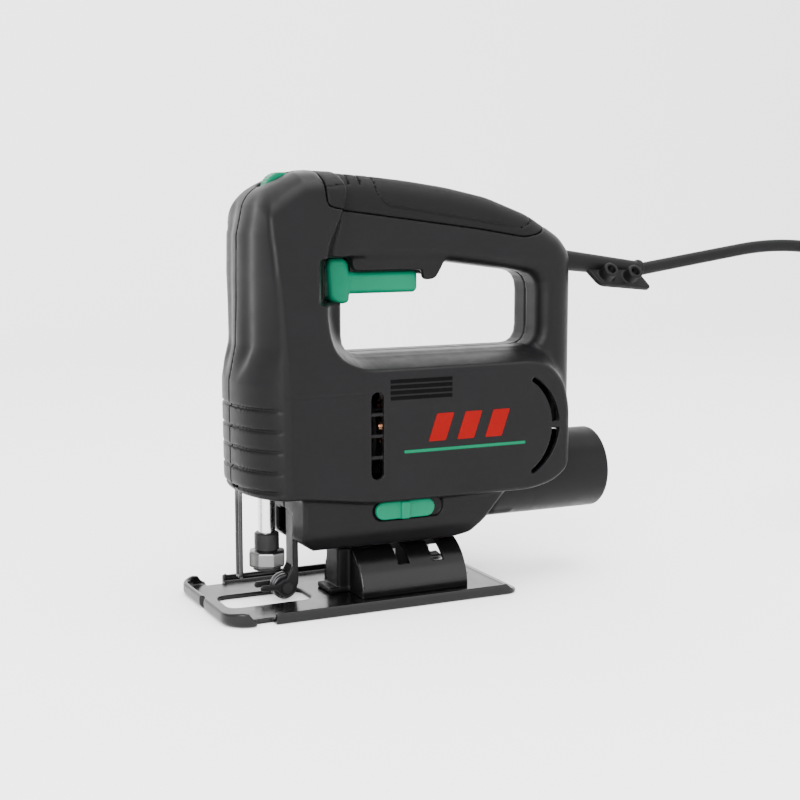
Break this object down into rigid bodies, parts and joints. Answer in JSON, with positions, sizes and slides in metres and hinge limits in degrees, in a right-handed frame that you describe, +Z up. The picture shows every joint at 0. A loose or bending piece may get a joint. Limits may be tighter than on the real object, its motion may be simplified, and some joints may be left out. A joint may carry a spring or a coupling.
{
  "type": "jigsaw power tool",
  "caption": "Corded jigsaw with a closed D-handle, trigger, tilting pressed sole, reciprocating blade clamp, guide roller and rear dust outlet.",
  "frame": {"origin": "centre of the sole's underside", "axes": "+X towards the blade, +Y the tool's left side, +Z up"},
  "size_m": [0.485, 0.1047, 0.2024],
  "materials": {
    "body_plastic": "fine matte grain",
    "grip_rubber": "soft matte",
    "green_plastic": "satin",
    "black_steel": "gloss black paint",
    "bright_steel": "ground",
    "dark_steel": "blackened",
    "casting": "as cast",
    "copper": "enamelled",
    "bronze": "sintered",
    "lamination": "stacked",
    "inner_plastic": "plain",
    "light_plastic": "plain",
    "carbon": "carbon",
    "cord_rubber": "matte"
  },
  "bodies": {
    "housing": {"housing_left": "body_plastic", "housing_right": "body_plastic", "housing_screws": "dark_steel", "grip_left": "grip_rubber", "grip_right": "grip_rubber", "gear_case": "casting", "bearing_plate": "inner_plastic", "front_bearing": "bright_steel", "rear_bearing": "bright_steel", "stator_core": "lamination", "field_coils": "copper", "brush_holders": "bronze", "carbon_brushes": "carbon", "brush_springs": "bright_steel", "gear_shaft": "bright_steel", "lower_bush": "bronze", "upper_bush": "bronze", "plunger_seal": "cord_rubber", "blade_guard_wire": "dark_steel", "roller_bracket": "dark_steel", "roller_pin": "dark_steel", "sole_clamp_plate": "dark_steel", "sole_bolts": "dark_steel", "dust_port": "body_plastic", "dust_duct": "inner_plastic", "trigger_pin": "bright_steel", "trigger_spring": "bright_steel", "switch_body": "inner_plastic", "speed_potentiometer": "inner_plastic", "capacitor": "light_plastic", "inner_leads": "cord_rubber", "cord_clamp": "inner_plastic", "cord_clamp_screws": "dark_steel", "cord_sleeve": "cord_rubber", "key_holder": "cord_rubber", "power_cord": "cord_rubber", "cord_coil": "cord_rubber", "plug_body": "cord_rubber", "plug_pins": "bright_steel"},
    "trigger": {"trigger": "green_plastic", "switch_plunger": "light_plastic"},
    "speed_dial": {"speed_dial": "green_plastic"},
    "armature": {"armature_shaft": "bright_steel", "armature_core": "lamination", "armature_windings": "copper", "commutator": "copper", "cooling_fan": "inner_plastic", "motor_pinion": "bright_steel"},
    "drive_gear": {"drive_gear": "dark_steel", "crank_pin": "bright_steel"},
    "plunger": {"plunger_bar": "bright_steel", "plunger_yoke": "dark_steel", "clamp_body": "dark_steel", "clamp_circlip": "dark_steel"},
    "clamp_ring": {"clamp_ring": "bright_steel"},
    "guide_roller": {"guide_roller": "dark_steel"},
    "sole": {"sole_plate": "black_steel", "tilt_cradle": "black_steel"},
    "blower_slider": {"slider_knob": "green_plastic", "slider_shutter": "inner_plastic"}
  },
  "joints": [
    {"name": "shoe_tilt", "type": "hinge", "parent": "housing", "child": "sole", "pos_m": [-0.0254, 0, 0.0023], "axis": [1, 0, 0], "range_deg": [-45, 45]},
    {"name": "trigger_pull", "type": "hinge", "parent": "housing", "child": "trigger", "pos_m": [-0.037, 0, 0.157], "axis": [0, -1, 0], "range_deg": [0, 6.5], "stiffness_Nm_per_rad": 1.5, "springref_deg": -2.86, "deforming": ["trigger_spring"]},
    {"name": "speed_dial_turn", "type": "hinge", "parent": "housing", "child": "speed_dial", "pos_m": [0.0336, 0, 0.1933], "axis": [0, 1, 0], "range_deg": [0, 270]},
    {"name": "armature_spin", "type": "hinge", "parent": "housing", "child": "armature", "pos_m": [-0.03, 0, 0.08], "axis": [1, 0, 0], "continuous": true},
    {"name": "drive_gear_spin", "type": "hinge", "parent": "housing", "child": "drive_gear", "pos_m": [0.026, 0, 0.107], "axis": [1, 0, 0], "continuous": true},
    {"name": "plunger_stroke", "type": "slide", "parent": "housing", "child": "plunger", "axis": [0, 0, 1], "range_m": [-0.002, 0.016]},
    {"name": "clamp_ring_twist", "type": "hinge", "parent": "plunger", "child": "clamp_ring", "pos_m": [0.0415, 0, 0.0216], "axis": [0, 0, 1], "range_deg": [0, 60], "stiffness_Nm_per_rad": 0.05},
    {"name": "guide_roller_spin", "type": "hinge", "parent": "housing", "child": "guide_roller", "pos_m": [0.0334, 0, 0.0072], "axis": [0, 1, 0], "continuous": true},
    {"name": "blower_slide", "type": "slide", "parent": "housing", "child": "blower_slider", "axis": [-1, 0, 0], "range_m": [0, 0.0045]}
  ],
  "couplings": [
    {"joint": "drive_gear_spin", "follows": "armature_spin", "ratio": -0.2}
  ]
}
